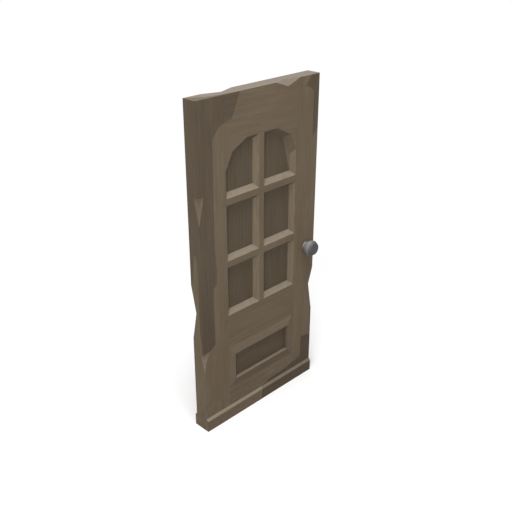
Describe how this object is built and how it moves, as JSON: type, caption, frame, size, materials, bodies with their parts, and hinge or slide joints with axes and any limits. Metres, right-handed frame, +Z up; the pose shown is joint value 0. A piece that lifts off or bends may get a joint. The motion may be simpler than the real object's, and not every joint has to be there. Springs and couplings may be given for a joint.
{
  "type": "weathered wooden door",
  "caption": "Framed and panelled timber door leaf, chipped at its edges, with boarded lights under a faceted arch, kickboards, round knobs and a sprung latch.",
  "frame": {"origin": "centre of the leaf's foot, on the floor", "axes": "+Z up, +X towards the latch edge, the front face looks along -Y"},
  "size_m": [0.932, 0.241, 2],
  "materials": {
    "timber": "weathered, matt, with dark worn patches",
    "dark_timber": "weathered, matt, dark",
    "knob_iron": "worn, dull grey",
    "latch_steel": "dull, lightly rusted"
  },
  "bodies": {
    "leaf": {"hinge_stile": "timber", "lock_stile": "timber", "top_rail": "timber", "mid_rail": "timber", "bottom_rail": "timber", "centre_bar": "timber", "upper_bar_left": "timber", "upper_bar_right": "timber", "lower_bar_left": "timber", "lower_bar_right": "timber", "top_light_board_left": "dark_timber", "top_light_board_right": "dark_timber", "middle_light_board_left": "dark_timber", "middle_light_board_right": "dark_timber", "bottom_light_board_left": "dark_timber", "bottom_light_board_right": "dark_timber", "lower_panel": "dark_timber", "front_moulding_top": "timber", "front_moulding_bottom": "timber", "front_moulding_left": "timber", "front_moulding_right": "timber", "back_moulding_top": "timber", "back_moulding_bottom": "timber", "back_moulding_left": "timber", "back_moulding_right": "timber", "front_kickboard": "timber", "back_kickboard": "timber", "front_kick_nails": "latch_steel", "back_kick_nails": "latch_steel", "front_moulding_pins": "latch_steel", "back_moulding_pins": "latch_steel", "outer_rose": "knob_iron", "inner_rose": "knob_iron", "outer_rose_screws": "latch_steel", "inner_rose_screws": "latch_steel", "latch_spring": "latch_steel", "latch_case": "latch_steel", "latch_cover": "latch_steel", "latch_cover_screws": "latch_steel", "faceplate": "latch_steel", "faceplate_wood_screws": "latch_steel", "faceplate_case_screws": "latch_steel"},
    "knob_set": {"outer_knob": "knob_iron", "inner_knob": "knob_iron", "outer_knob_cap": "knob_iron", "inner_knob_cap": "knob_iron", "outer_grub_screw": "latch_steel", "inner_grub_screw": "latch_steel", "spindle": "latch_steel", "latch_hub": "latch_steel"},
    "bolt": {"latch_bolt": "latch_steel"}
  },
  "joints": [
    {"name": "knob_turn", "type": "hinge", "parent": "leaf", "child": "knob_set", "pos_m": [0.384, 0, 0.954], "axis": [0, 1, 0], "range_deg": [0, 35], "stiffness_Nm_per_rad": 0.14, "springref_deg": -28.65},
    {"name": "bolt_slide", "type": "slide", "parent": "leaf", "child": "bolt", "axis": [-1, 0, 0], "range_m": [0, 0.01222], "deforming": ["latch_spring"]}
  ],
  "couplings": [
    {"joint": "bolt_slide", "follows": "knob_turn", "m_per_rad": 0.02}
  ]
}
